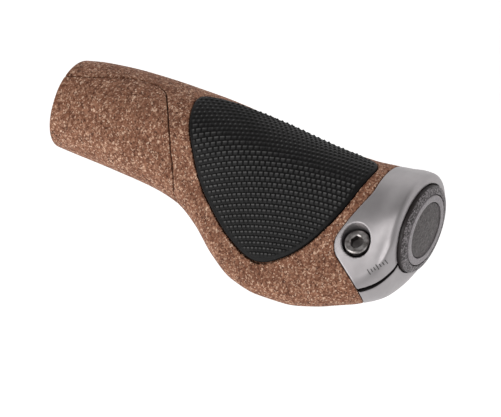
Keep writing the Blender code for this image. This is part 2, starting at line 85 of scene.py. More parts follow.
# The collar panel's seam: degrees from +Z to the rear, its start and its end in mm
PANEL_SEAM = np.array((
    (-38.0, 24.5, 31.0),
    (-36.0, 21.5, 33.4),
    (-30.0, 16.8, 36.2),
    (-20.0, 9.2, 38.4),
    (-12.0, 1.5, 40.0),
    (-9.0, -1.0, 40.6),
    (3.0, -1.0, 42.7),
    (18.0, -1.0, 44.9),
    (36.0, -1.0, 46.4),
    (52.0, -1.0, 48.2),
    (67.0, -1.0, 49.7),
    (90.0, -1.0, 50.4),
))

# The palm pad's outline, in mm, where its forward-leaning sides cross the bar's height
PAD_OUTLINE = (
    (47.0, 4.5), (50.0, -7.2), (56.4, -15.8), (65.4, -23.4), (77.0, -30.7), (88.0, -34.0),
    (97.3, -31.3), (105.8, -25.0), (112.0, -15.9), (115.0, -5.0), (115.3, 3.6),
    (110.5, 8.2), (95.5, 11.6), (78.0, 13.8), (62.0, 11.8), (51.0, 9.0),
)
PAD_CENTRE = (83.0 * MM, -7.0 * MM)
PAD_LEAN = math.radians(25)
PAD_PROUD = 0.4 * MM
PAD_DEPTH = 1.6 * MM
PAD_RIM_ROUND = 0.45 * MM

PLATE_OUTLINE = (
    (62.0, -11.8), (63.5, -17.0), (71.0, -26.5), (80.0, -31.5), (90.0, -33.5),
    (101.0, -32.5), (110.0, -29.0), (111.0, -11.8),
)
PLATE_SLOTS = ((72.5, -19.0, 5.0, 8.0), (85.0, -21.5, 6.0, 12.0), (99.0, -21.5, 6.0, 12.0))
PLATE_LOW = -3.6 * MM
PLATE_HIGH = -1.2 * MM

NOSE_R = 6.0 * MM
NOSE_CENTRE = (119.2 * MM, -17.7 * MM)
NOSE_START = math.radians(159.0)
NOSE_END = math.radians(236.5)
CLAMP_REAR = (126.3 * MM, -29.6 * MM)
SLIT_Z = 2.4 * MM
SLIT_T = 1.4 * MM
SLIT_FRONT = -8 * MM
CUT_START = 90 * MM             # the clamp's cutters run past it from here
CUT_END = 140 * MM              # to here
DOG_SIDES = (0, 90, 270)        # degrees round the bar
DOG_HALF_SPACE = 27
DOG_SPACE_END = 119.0 * MM

BOLT = (120.2 * MM, -15.9 * MM)
RECESS_R = 5.0 * MM
FLARE_R = 5.4 * MM              # 5.9 mm in the CAD
FLARE_LOW = 12.9 * MM
FLARE_HIGH = 15.9 * MM
SEAT_Z = 6.2 * MM
HOLE_R = 2.8 * MM
WASHER_R = 4.2 * MM
WASHER_LOW = SEAT_Z + 0.3 * MM
WASHER_TOP = SEAT_Z + 0.9 * MM
HEAD_LOW = SEAT_Z + 1.2 * MM
HEAD_TOP = HEAD_LOW + 4.0 * MM
HEAD_R = 4.25 * MM
HEAD_ROUND = 0.45 * MM
SOCKET_FLATS = 4.0 * MM
SOCKET_DEPTH = 2.3 * MM
SOCKET_MOUTH_R = 3.4 * MM
DRILL_R = 1.9 * MM
SHANK_R = 2.5 * MM
SHANK_END = -11.0 * MM
SHANK_CHAMFER = 0.5 * MM
NUT_FLATS = 8.0 * MM
NUT_LOW = -9.5 * MM
NUT_TOP = -5.5 * MM
NUT_FACE_R = 3.4 * MM
NUT_CORNER_R = 5.1 * MM
NUT_CHAMFER = 0.7 * MM

PLUG_SEAT_X = 131.5 * MM
PLUG_SEAT_R = 15.3 * MM
PLUG_R = 15.0 * MM
PLUG_LOW = 131.8 * MM
PLUG_SHOULDER = 134.3 * MM
PLUG_FACE = 135.2 * MM
PLUG_FACE_R = 12.3 * MM
BADGE_SEAT = 134.2 * MM
PLUG_TAIL_R = 7.6 * MM
PLUG_TAIL_BORE_R = 6.0 * MM
PLUG_TAIL_END = 118.0 * MM
BARB_STARTS = (130.0 * MM, 127.0 * MM, 124.0 * MM, 121.0 * MM)
BARB_R = 9.0 * MM
BARB_LENGTH = 1.4 * MM
RING_R = 12.0 * MM
RING_INNER_R = 9.7 * MM
DISC_R = 9.4 * MM
DISC_SINK = 0.25 * MM           # below the ring's face

# The camera: where it looks, its own right, up and back directions, and its lens
LOOK_AT = Vector((75.9, -13.4, 0.0)) * MM
VIEW_RIGHT = Vector((0.8623, 0.4470, -0.2378))
VIEW_UP = Vector((-0.3105, 0.8378, 0.4491))
VIEW_BACK = Vector((0.4000, -0.3135, 0.8612))
VIEW_WIDTH = 164.5 * MM         # seen across the frame at the grip
CAMERA_DISTANCE = 2.5
CAMERA_REACH = 50.0
SENSOR = 36.0

# The floor, the sky and the key light, in metres and watts
FLOOR_Z = -0.16
FLOOR_HALF = 4.0
FLOOR_GLOW = 0.42
SKY_GREYS = ((0.25, 1.0), (0.95, 0.21))     # by height, from low to high
SKY_REAR = 0.6                              # its strength on the rider's side
SKY_FRONT = 1.25
KEY_PLACE = (-0.75, -0.3, 0.65)             # right, up and back from the grip
KEY_SIZE = 0.8
KEY_POWER = 6.5


# ---------------------------------------------------------------- the grip's outer form

def monotone_slopes(table):
    """Slopes at the rows of a table, weighted harmonic means of those on both sides."""
    run = np.diff(table[:, 0])[:, None]
    rise = np.diff(table[:, 1:], axis=0) / run
    slope = np.zeros_like(table[:, 1:])
    slope[0], slope[-1] = rise[0], rise[-1]
    before, after = rise[:-1], rise[1:]
    weight_before = 2 * run[1:] + run[:-1]
    weight_after = run[1:] + 2 * run[:-1]
    same = before * after > 0
    before, after = np.where(same, before, 1.0), np.where(same, after, 1.0)
    mean = (weight_before + weight_after) / (weight_before / before + weight_after / after)
    slope[1:-1] = np.where(same, mean, 0.0)
    return slope


def read_table(table, x):
    """A table's columns at each x, on monotone cubic curves through its rows."""
    slope = monotone_slopes(table)
    x = np.clip(x, table[0, 0], table[-1, 0])
    row = np.clip(np.searchsorted(table[:, 0], x, side="right") - 1, 0, len(table) - 2)
    run = table[row + 1, 0] - table[row, 0]
    t = (x - table[row, 0]) / run
    values = []
    for column in range(table.shape[1] - 1):
        start, end = table[row, column + 1], table[row + 1, column + 1]
        leave, arrive = slope[row, column] * run, slope[row + 1, column] * run
        values.append((1 + 2 * t) * (1 - t) ** 2 * start + t * (1 - t) ** 2 * leave
                      + t * t * (3 - 2 * t) * end + t * t * (t - 1) * arrive)
    return values


def cubic(a, b, c, d, t):
    return a * (1 - t) ** 3 + 3 * b * t * (1 - t) ** 2 + 3 * c * t * t * (1 - t) + d * t ** 3


def surface(x, turn):
    """Points on the outer form. Turn goes round a section from its top by way of the front.

    From 0 to 2 it follows the front arc to the bottom, to 3 the underside, to 4 the
    wing's rounded rear edge, and to 5 the upper side back to the top.
    """
    x, turn = np.broadcast_arrays(np.asarray(x, float), np.asarray(turn, float))
    front, top, bottom, back, edge_z, edge_r = read_table(FORM, x)
    turn = turn % 5.0
    angle = np.pi / 2 - np.pi / 2 * turn
    arc_y = front * np.cos(angle)
    arc_z = np.where(np.sin(angle) > 0, top, bottom) * np.sin(angle)
    edge_angle = WING_EDGE_ARC * (2 * (turn - 3.0) - 1)
    edge_y = -back - edge_r * np.cos(edge_angle)
    edge_up = edge_z + edge_r * np.sin(edge_angle)
    sin, cos = math.sin(WING_EDGE_ARC), math.cos(WING_EDGE_ARC)
    tip_y = -back - edge_r * cos
    low_z, high_z = edge_z - edge_r * sin, edge_z + edge_r * sin
    pull = np.hypot(tip_y, low_z + bottom) * FILLET_PULL
    under_y = cubic(0 * x, -pull, tip_y + sin * pull, tip_y, turn - 2.0)
    under_z = cubic(-bottom, -bottom, low_z - cos * pull, low_z, turn - 2.0)
    pull = np.hypot(tip_y, high_z - top) * FILLET_PULL
    over_y = cubic(tip_y, tip_y + sin * pull, -pull, 0 * x, turn - 4.0)
    over_z = cubic(high_z, high_z + cos * pull, top, top, turn - 4.0)
    stretch = [turn < 2.0, turn < 3.0, turn < 4.0]
    y = np.select(stretch, [arc_y, under_y, edge_y], over_y)
    z = np.select(stretch, [arc_z, under_z, edge_up], over_z)
    return np.stack([x, y, z], axis=-1)


def surface_normal(x, turn):
    """Outward unit normals of the outer form, by differences."""
    step_x, step_turn = 0.05 * MM, 0.002
    along = surface(x + step_x, turn) - surface(x - step_x, turn)
    round_ = surface(x, turn + step_turn) - surface(x, turn - step_turn)
    normal = np.cross(along, round_)
    return normal / np.linalg.norm(normal, axis=-1, keepdims=True)


# ---------------------------------------------------------------- mesh tools

def new_object(name, mesh):
    obj = bpy.data.objects.new(name, mesh)
    bpy.context.scene.collection.objects.link(obj)
    return obj


def mesh_object(name, points, faces):
    """An object from points and faces, with its faces turned outward."""
    mesh = bpy.data.meshes.new(name)
    mesh.from_pydata(np.asarray(points).tolist(), [], faces)
    shell = bmesh.new()
    shell.from_mesh(mesh)
    bmesh.ops.recalc_face_normals(shell, faces=shell.faces)
    shell.to_mesh(mesh)
    shell.free()
    return new_object(name, mesh)


def freeze(obj):
    """Replace the object's mesh with the one that its modifiers make."""
    bpy.context.view_layer.update()
    evaluated = obj.evaluated_get(bpy.context.evaluated_depsgraph_get())
    mesh = bpy.data.meshes.new_from_object(evaluated)
    obj.modifiers.clear()
    obj.data = mesh
    return obj


def combine(obj, operation, *others):
    """Boolean each other object into this one, and remove the others."""
    for other in others:
        modifier = obj.modifiers.new(operation, "BOOLEAN")
        modifier.operation = operation
        modifier.solver = "EXACT"
        modifier.object = other
    freeze(obj)
    for other in others:
        bpy.data.objects.remove(other, do_unlink=True)
    return obj


def soften(obj, voxel, passes, keep):
    """Round the object's edges: an even remesh, a few smoothing passes, then thinning."""
    remesh = obj.modifiers.new("even", "REMESH")
    remesh.mode = "VOXEL"
    remesh.voxel_size = voxel
    remesh.use_smooth_shade = True
    smooth = obj.modifiers.new("smooth", "SMOOTH")
    smooth.factor = 0.5
    smooth.iterations = passes
    thin = obj.modifiers.new("thin", "DECIMATE")
    thin.ratio = keep
    freeze(obj)
    obj.data.shade_smooth()
    return obj


def loft(name, start, end, grow=0.0, step=1.0 * MM, around=200, rounds=(0.0, 0.0)):
    """A closed solid of the outer form between two places along the bar."""
    first, last = rounds
    places = list(np.linspace(start + first, end - last, round((end - start) / step)))
    insets = [grow] * len(places)
    if first:
        for turn in np.radians(range(10, 91, 10)):
            sink, back = 1 - math.cos(turn), 1 - math.sin(turn)
            places = [start + first * back] + places + [end - last * back]
            insets = [grow - first * sink] + insets + [grow - last * sink]
    turns = np.linspace(0.0, 5.0, around, endpoint=False)
    rings = []
    for x, inset in zip(places, insets):
        points = surface(x, turns)
        normal = surface_normal(x, turns)
        normal[:, 0] = 0.0
        normal /= np.linalg.norm(normal, axis=1, keepdims=True)
        rings.append(points + normal * inset)
    faces = []
    for ring in range(len(rings) - 1):
        for k in range(around):
            here, there = ring * around + k, ring * around + (k + 1) % around
            faces.append((here, there, there + around, here + around))
    faces.append(tuple(range(around)))
    faces.append(tuple(range((len(rings) - 1) * around, len(rings) * around)))
    return mesh_object(name, np.concatenate(rings), faces)


def prism(name, outline, low, high, lean=0.0, axis="Z"):
    """An outline as a solid from low to high along Z or X. Along X its points are (y, z)."""
    count = len(outline)
    points = []
    for height in (low, high):
        for across, up in outline:
            shifted = up + height * math.tan(lean)
            points.append((across, shifted, height) if axis == "Z" else (height, across, up))
    faces = [tuple(range(count)), tuple(range(count, 2 * count))]
    faces += [(k, (k + 1) % count, (k + 1) % count + count, k + count) for k in range(count)]
    return mesh_object(name, points, faces)


def turned(name, profile, axis="X", centre=(0.0, 0.0), closed=True, steps=128):
    """A turned solid from (radius, height) points, about X or about Z at centre (x, y)."""
    angles = np.linspace(0.0, 2 * np.pi, steps, endpoint=False)
    points, rows = [], []
    for radius, height in profile:
        if radius == 0.0:
            rows.append([len(points)] * steps)
            ring = np.array([[0.0, 0.0, height]])
        else:
            rows.append(range(len(points), len(points) + steps))
            ring = np.stack([radius * np.cos(angles), radius * np.sin(angles),
                             np.full(steps, height)], axis=-1)
        if axis == "X":
            ring = ring[:, [2, 0, 1]]
        else:
            ring = ring + (*centre, 0.0)
        points.extend(ring.tolist())
    faces = []
    spans = list(zip(rows, rows[1:]))
    if closed:
        spans.append((rows[-1], rows[0]))
    for upper, lower in spans:
        for k in range(steps):
            ring = (upper[k], upper[(k + 1) % steps], lower[(k + 1) % steps], lower[k])
            corners = tuple(dict.fromkeys(ring))
            if len(corners) > 2:
                faces.append(corners)
    return mesh_object(name, points, faces)


def rounded(profile, radius, closed=True, pieces=4):
    """A profile with each corner of it replaced by a small round."""
    most = 0.45                 # of each side's length, for the round
    made = []
    count = len(profile)
    for k, corner in enumerate(profile):
        corner = Vector(corner)
        if not closed and k in (0, count - 1):
            made.append(tuple(corner))
            continue
        before, after = Vector(profile[k - 1]), Vector(profile[(k + 1) % count])
        reach = min(radius, (before - corner).length * most, (after - corner).length * most)
        start = corner + (before - corner).normalized() * reach
        end = corner + (after - corner).normalized() * reach
        for piece in range(pieces + 1):
            t = piece / pieces
            point = start * (1 - t) ** 2 + corner * 2 * t * (1 - t) + end * t * t
            made.append(tuple(point))
    return made


def cylinder(name, radius, start, end, axis="X", centre=(0.0, 0.0), steps=128):
    return turned(name, [(0.0, end), (radius, end), (radius, start), (0.0, start)],
                  axis, centre, closed=False, steps=steps)


def arc(centre, radius, start, end, count):
    turn = np.linspace(start, end, count)
    return [(centre[0] + radius * math.cos(a), centre[1] + radius * math.sin(a)) for a in turn]


def hexagon(flats, centre):
    return arc(centre, flats / math.sqrt(3), 0.0, math.radians(300), 6)


def in_mm(points):
    return [tuple(value * MM for value in point) for point in points]


def closed_curve(points, per_span):
    """A closed smooth (Catmull-Rom) curve through given points."""
    points = np.array(points, float)
    a, b, c, d = (np.roll(points, -step, axis=0)[:, None] for step in (-1, 0, 1, 2))
    t = (np.arange(per_span) / per_span)[None, :, None]
    curve = 0.5 * (2 * b + (c - a) * t + (2 * a - 5 * b + 4 * c - d) * t ** 2
                   + (3 * b - a - 3 * c + d) * t ** 3)
    return curve.reshape(-1, 2)


def offset_outline(points, distance):
    """A closed outline moved outward by distance."""
    points = np.array(points, float)
    arrive = points - np.roll(points, 1, axis=0)
    arrive /= np.linalg.norm(arrive, axis=1, keepdims=True)
    leave = np.roll(arrive, -1, axis=0)
    following = np.roll(points, -1, axis=0)
    area = np.sum(points[:, 0] * following[:, 1] - following[:, 0] * points[:, 1])
    square = np.stack([arrive[:, 1], -arrive[:, 0]], axis=1) * np.sign(area)
    normal = square + np.stack([leave[:, 1], -leave[:, 0]], axis=1) * np.sign(area)
    normal /= np.linalg.norm(normal, axis=1, keepdims=True)
    return points + normal * (distance / np.sum(normal * square, axis=1, keepdims=True))


def clamp_outline():
    """The clamp's share of the grip, in plan."""
    outside, side = 150 * MM, BEYOND
    nose = arc(NOSE_CENTRE, NOSE_R, NOSE_START, NOSE_END, 33)
    return [(CLAMP_FACE, side), (CLAMP_FACE, 1.5 * MM), (CLAMP_FACE - 0.2 * MM, -0.1 * MM),
            (CLAMP_FACE - 0.6 * MM, -1.5 * MM), *nose, CLAMP_REAR, (CLAMP_REAR[0], -side),
            (outside, -side), (outside, side)]


def panel_wedge(name, grow, inner):
    """The space of the collar panel, in rows by angle from its seam's start to its end."""
    rows, outer, surface_r = 180, 30.0 * MM, 16 * MM
    table = PANEL_SEAM.copy()
    table[:, 1:] *= MM
    table[:, 1] -= np.where(table[:, 1] > 0.0, grow, 0.0)
    table[:, 2] += grow
    share = np.linspace(0.0, 1.0, rows + 1)
    first, last = table[0, 0], 180.0 - table[0, 0]
    degrees = first + (last - first) * share
    start, end = read_table(table, np.minimum(degrees, 180.0 - degrees))
    angle = np.radians(degrees) + grow / surface_r * (2 * share - 1)
    points = []
    for row in range(rows + 1):
        for x in (start[row], end[row]):
            for radius in (inner, outer):
                points.append((x, -radius * math.sin(angle[row]), radius * math.cos(angle[row])))
    faces = [(0, 1, 3, 2), tuple(4 * rows + k for k in (0, 1, 3, 2))]
    for row in range(rows):
        for k, j in ((0, 1), (1, 3), (3, 2), (2, 0)):
            here, there = 4 * row, 4 * row + 4
            faces.append((here + k, here + j, there + j, there + k))
    return mesh_object(name, points, faces)


# ---------------------------------------------------------------- materials

class Look:
    """A node material on one Principled shader, with short ways to add to it."""

    def __init__(self, name, colour, roughness, metallic=0.0, **sockets):
        self.material = bpy.data.materials.new(name)
        self.material.use_nodes = True
        self.tree = self.material.node_tree
        self.shader = self.tree.nodes["Principled BSDF"]
        self.set("Base Color", (*colour, 1.0))
        self.set("Roughness", roughness)
        self.set("Metallic", metallic)
        for socket, value in sockets.items():
            self.set(socket.replace("_", " "), value)
        self.place = self.add("ShaderNodeTexCoord").outputs["Object"]

    def set(self, socket, value):
        self.shader.inputs[socket].default_value = value

    def add(self, kind, **values):
        node = self.tree.nodes.new(kind)
        for name, value in values.items():
            setattr(node, name, value)
        return node

    def link(self, source, target):
        self.tree.links.new(source, target)

    def noise(self, scale, detail):
        node = self.add("ShaderNodeTexNoise")
        node.inputs["Scale"].default_value = scale
        node.inputs["Detail"].default_value = detail
        node.inputs["Roughness"].default_value = 0.55
        self.link(self.place, node.inputs["Vector"])
        return node

    def cells(self, scale, place=None, feature="F1"):
        node = self.add("ShaderNodeTexVoronoi", feature=feature)
        node.inputs["Scale"].default_value = scale
        self.link(place or self.place, node.inputs["Vector"])
        return node

    def channel(self, colour, index):
        """One channel of a cell's random colour: 0, 1 or 2."""
        split = self.add("ShaderNodeSeparateColor")
        self.link(colour, split.inputs[0])
        return split.outputs[index]

    def warped(self, scale, amount):
        """The place, pushed about by a noise, in metres."""
        noise = self.noise(scale, 1.0)
        centre = self.add("ShaderNodeVectorMath", operation="SUBTRACT")
        self.link(noise.outputs["Color"], centre.inputs[0])
        centre.inputs[1].default_value = (0.5, 0.5, 0.5)
        shrink = self.add("ShaderNodeVectorMath", operation="SCALE")
        self.link(centre.outputs[0], shrink.inputs[0])
        shrink.inputs["Scale"].default_value = amount
        moved = self.add("ShaderNodeVectorMath", operation="ADD")
        self.link(self.place, moved.inputs[0])
        self.link(shrink.outputs[0], moved.inputs[1])
        return moved.outputs[0]

    def ramp(self, source, stops):
        """A value turned into a colour, or into a grey where a stop has one number."""
        node = self.add("ShaderNodeValToRGB")
        elements = node.color_ramp.elements
        while len(elements) < len(stops):
            elements.new(0.5)
        for element, (at, colour) in zip(elements, stops):
            colour = colour if isinstance(colour, tuple) else (colour,) * 3
            element.position = at
            element.color = (*colour, 1.0)
        self.link(source, node.inputs[0])
        return node.outputs[0]

    def axis(self, index):
        """The place along the object's own X, Y or Z, in metres."""
        split = self.add("ShaderNodeSeparateXYZ")
        self.link(self.place, split.inputs[0])
        return split.outputs[index]

    def math(self, operation, a, b=0.0):
        node = self.add("ShaderNodeMath", operation=operation)
        for socket, value in zip(node.inputs, (a, b)):
            if isinstance(value, (int, float)):
                socket.default_value = value
            else:
                self.link(value, socket)
        return node.outputs[0]

    def mix(self, factor, a, b, mode="MIX"):
        node = self.add("ShaderNodeMix", data_type="RGBA", blend_type=mode)
        for socket, value in zip((node.inputs[0], node.inputs[6], node.inputs[7]),
                                 (factor, a, b)):
            if isinstance(value, (int, float)):
                socket.default_value = value
            elif isinstance(value, tuple):
                socket.default_value = (*value, 1.0)
            else:
                self.link(value, socket)
        return node.outputs[2]

    def bump(self, height, distance, strength):
        node = self.add("ShaderNodeBump")
        node.inputs["Strength"].default_value = strength
        node.inputs["Distance"].default_value = distance
        self.link(height, node.inputs["Height"])
        self.link(node.outputs[0], self.shader.inputs["Normal"])

    def colour(self, source):
        self.link(source, self.shader.inputs["Base Color"])

    def rough(self, source, low, high):
        spread = self.add("ShaderNodeMapRange")
        self.link(source, spread.inputs["Value"])
        spread.inputs["To Min"].default_value = low
        spread.inputs["To Max"].default_value = high
        self.link(spread.outputs[0], self.shader.inputs["Roughness"])


def cork_look():
    """Ground cork in a reddish binder: grains of two sizes, light flecks and dark specks."""
    look = Look("cork_composite", (0.26, 0.12, 0.07), 0.8, Specular_IOR_Level=0.25)
    warped = look.warped(1100.0, 0.0009)
    grains = look.cells(1000.0, warped)
    large = look.ramp(look.channel(grains.outputs["Color"], 0), (
        (0.00, (0.085, 0.030, 0.017)),
        (0.22, (0.170, 0.069, 0.038)),
        (0.55, (0.255, 0.113, 0.068)),
        (0.80, (0.350, 0.177, 0.112)),
        (1.00, (0.520, 0.320, 0.220)),
    ))
    fine = look.cells(2100.0, warped)
    small = look.ramp(look.channel(fine.outputs["Color"], 1), (
        (0.00, (0.040, 0.014, 0.008)),
        (0.25, (0.185, 0.075, 0.042)),
        (0.68, (0.300, 0.138, 0.082)),
        (0.86, (0.560, 0.340, 0.235)),
        (1.00, (0.960, 0.720, 0.560)),
    ))
    mixed = look.mix(0.62, large, small)
    cloud = look.noise(120.0, 3.0)
    tint = look.ramp(cloud.outputs["Fac"], ((0.3, (0.84, 0.76, 0.70)), (0.7, (1.06, 1.02, 0.98))))
    look.colour(look.mix(1.0, mixed, tint, "MULTIPLY"))
    rim = look.cells(1000.0, warped, "DISTANCE_TO_EDGE")
    groove = look.ramp(rim.outputs["Distance"], ((0.0, 0.0), (0.12, 1.0)))
    height = look.math("ADD", groove, look.noise(2600.0, 2.0).outputs["Fac"])
    look.bump(height, 0.00014, 0.6)
    look.rough(look.channel(fine.outputs["Color"], 2), 0.66, 0.92)
    return look.material


def rubber_look():
    """Soft black rubber, with painted shade between the nubs and a painted highlight on their
    crests.
    """
    look = Look("pad_rubber", (0.012, 0.0115, 0.0115), 0.45, Specular_IOR_Level=0.16)
    nub = look.add("ShaderNodeAttribute", attribute_name="nub").outputs["Fac"]
    # painted light: crests are coloured paler as a painted highlight, the low ground between nubs
    # darker as painted shade
    nub_highlight_and_shade = look.ramp(nub, ((0.0, (0.006, 0.0055, 0.0055)), (0.55, (0.012, 0.0115, 0.0115)),
                           (0.85, (0.040, 0.039, 0.039)), (1.0, (0.120, 0.117, 0.115))))
    dust = look.noise(420.0, 4.0)
    film = look.ramp(dust.outputs["Fac"], ((0.3, 0.7), (0.75, 1.25)))
    look.colour(look.mix(1.0, nub_highlight_and_shade, film, "MULTIPLY"))
    look.rough(look.noise(900.0, 3.0).outputs["Fac"], 0.34, 0.60)
    look.bump(look.noise(5200.0, 2.0).outputs["Fac"], 0.00003, 0.5)
    return look.material


def aluminium_look():
    """Bead-blasted aluminium, with painted shade inside the slit."""
    look = Look("satin_aluminium", (0.364, 0.341, 0.346), 0.42, 0.8)
    tone = look.noise(160.0, 3.0)
    metal = look.ramp(tone.outputs["Fac"], ((0.3, (0.342, 0.321, 0.326)),
                                           (0.7, (0.380, 0.357, 0.362))))
    # painted shade: the faces inside the slit, behind its front, are coloured near-black
    off_slit = look.math("ABSOLUTE", look.math("SUBTRACT", look.axis(2), SLIT_Z))
    behind = look.math("LESS_THAN", look.axis(1), SLIT_FRONT)
    near = look.math("LESS_THAN", off_slit, SLIT_T * 0.56)
    inside = look.math("MULTIPLY", behind, near)
    # the painted shade goes on inside the slit
    look.colour(look.mix(inside, metal, (0.045, 0.04, 0.04)))
    look.rough(look.noise(700.0, 4.0).outputs["Fac"], 0.36, 0.50)
    look.bump(look.noise(5200.0, 3.0).outputs["Fac"], 0.00003, 0.5)
    return look.material


def steel_look():
    """Plain steel with light patches of wear, and painted shade down inside the key socket."""
    look = Look("bolt_steel", (0.36, 0.34, 0.33), 0.3, 1.0)
    wear = look.noise(600.0, 4.0)
    steel = look.ramp(wear.outputs["Fac"], ((0.35, (0.22, 0.20, 0.19)),
                                            (0.62, (0.52, 0.49, 0.48))))
    # painted shade: near the axis and down inside the key socket the steel is coloured dark
    across = look.math("SUBTRACT", look.axis(0), BOLT[0])
    along = look.math("SUBTRACT", look.axis(1), BOLT[1])
    reach = look.math("SQRT", look.math("ADD", look.math("MULTIPLY", across, across),
                                        look.math("MULTIPLY", along, along)))
    middle = look.math("LESS_THAN", reach, 2.6 * MM)
    deep = look.math("LESS_THAN", look.axis(2), HEAD_TOP - 0.8 * MM)
    look.colour(look.mix(look.math("MULTIPLY", middle, deep), steel, (0.17, 0.155, 0.15)))
    look.rough(wear.outputs["Fac"], 0.20, 0.42)
    look.bump(look.noise(3500.0, 3.0).outputs["Fac"], 0.00003, 0.5)
    return look.material


def nylon_look():
    """Black moulded nylon, slightly uneven."""
    look = Look("sleeve_nylon", (0.02, 0.02, 0.021), 0.5)
    look.colour(look.ramp(look.noise(300.0, 4.0).outputs["Fac"],
                          ((0.3, (0.015, 0.015, 0.016)), (0.7, (0.030, 0.030, 0.031)))))
    look.rough(look.noise(1500.0, 3.0).outputs["Fac"], 0.42, 0.62)
    look.bump(look.noise(3000.0, 2.0).outputs["Fac"], 0.00003, 0.4)
    return look.material


def speckled_look(name, dark, light, share, scale, roughness, plain_below=None):
    """Plastic with light specks, left plain below a place along the bar if one is given."""
    look = Look(name, dark, roughness, Specular_IOR_Level=0.35)
    specks = look.cells(scale)
    value = look.channel(specks.outputs["Color"], 0)
    tone = look.ramp(value, ((share - 0.15, dark), (1.0, light)))
    if plain_below is not None:
        plain = look.math("LESS_THAN", look.axis(0), plain_below)
        tone = look.mix(plain, tone, dark)
    look.colour(tone)
    look.rough(look.channel(specks.outputs["Color"], 1), roughness - 0.1, roughness + 0.12)
    look.bump(look.noise(scale * 1.3, 2.0).outputs["Fac"], 0.00005, 0.5)
    return look.material


def ink_look():
    """Dark grey printing ink."""
    look = Look("mark_ink", (0.05, 0.047, 0.045), 0.6)
    look.colour(look.ramp(look.noise(2500.0, 2.0).outputs["Fac"],
                          ((0.3, (0.035, 0.033, 0.032)), (0.7, (0.085, 0.08, 0.078)))))
    look.rough(look.noise(1800.0, 2.0).outputs["Fac"], 0.5, 0.7)
    return look.material


# ---------------------------------------------------------------- the pieces

def place(obj, body, material, slot, *nodes):
    """Give a piece its material and body, and hide the CAD nodes that it stands for. The slot is
    not used.
    """
    obj.data.materials.clear()
    obj.data.materials.append(material)
    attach(obj, body)
    if nodes:
        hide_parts(*nodes)
    return obj


def smooth_but_sharp(obj):
    obj.data.shade_smooth()
    obj.data.set_sharp_from_angle(angle=SHARP_ANGLE)
    return obj


def pad_prism(name, grow):
    outline = offset_outline(closed_curve(PAD_OUTLINE, 12) * MM, grow)
    return prism(name, outline.tolist(), -0.5 * MM, 30 * MM, lean=PAD_LEAN)


def make_cork_body():
    """The form, less the clamp's share, the bore, the pad's pocket, the plate and the panel."""
    body = loft("grip_body", 0.0, BODY_END, rounds=(END_ROUND, END_ROUND))
    pocket = pad_prism("pocket", GAP)
    combine(pocket, "DIFFERENCE", loft("floor", 40 * MM, 122 * MM, -PAD_DEPTH - GAP))
    share = prism("share", offset_outline(clamp_outline(), GAP).tolist(), -BEYOND, BEYOND)
    plate = prism("plate", offset_outline(in_mm(PLATE_OUTLINE), 2 * GAP).tolist(),
                  PLATE_LOW - 2 * GAP, PLATE_HIGH + 2 * GAP)
    bore = cylinder("bore", CORK_BORE_R, -5 * MM, 125 * MM)
    combine(body, "DIFFERENCE", share, bore, pocket, plate,
            panel_wedge("panel_space", GAP, 12 * MM))
    return soften(body, voxel=0.4 * MM, passes=3, keep=0.5)


def make_collar_panel():
    """The panel round the collar's rear, between the seam and the inboard end."""
    panel = panel_wedge("collar_panel", -GAP, CORK_BORE_R)
    combine(panel, "INTERSECT", loft("form", 0.0, 70 * MM, rounds=(END_ROUND, END_ROUND)))
    return soften(panel, voxel=0.35 * MM, passes=3, keep=0.6)


def pad_turn(x, target):
    """The turn at which the outer form meets a leaning line, by halving."""
    furthest, halvings = 1.25, 26
    low, high = np.full_like(x, -furthest), np.full_like(x, furthest)
    for _ in range(halvings):
        middle = (low + high) / 2
        point = surface(x, middle)
        past = point[..., 1] - point[..., 2] * math.tan(PAD_LEAN) > target
        high = np.where(past, middle, high)
        low = np.where(past, low, middle)
    return (low + high) / 2


def smoothstep(low, high, value):
    t = np.clip((value - low) / (high - low), 0.0, 1.0)
    return t * t * (3 - 2 * t)


# The pad's nubs: rows on wide arcs, dashes on the wing and dots over the tube
ROW_PITCH = 1.75 * MM
DASH_PITCH = 2.1 * MM
DOT_PITCH = 1.6 * MM
ROW_TILT = math.radians(21)
ROW_CENTRE = (64.0 * MM, -150.5 * MM)
ROW_RADIUS = 133.0 * MM         # where the pitches along a row are true
NUB_HEIGHT = 0.5 * MM
DOTS_BY = 5.0 * MM              # round the form from its top, where only dots are left
PLAIN_RIM = 0.7 * MM            # in from the pad's edge, with no nubs
FULL_NUBS = 1.5 * MM
PAD_CELLS = 296                 # of the pad's grid, along each side
FLOOR_CELL = 8                  # of its cells go to one of its floor


def girth(x, turn):
    """Distance round the outer form from its top line, positive to the front."""
    steps = 16
    total = np.zeros_like(x)
    last = surface(x, np.zeros_like(x))
    for step in range(1, steps + 1):
        here = surface(x, turn * step / steps)
        total += np.linalg.norm(here - last, axis=-1)
        last = here
    return total * np.sign(turn)


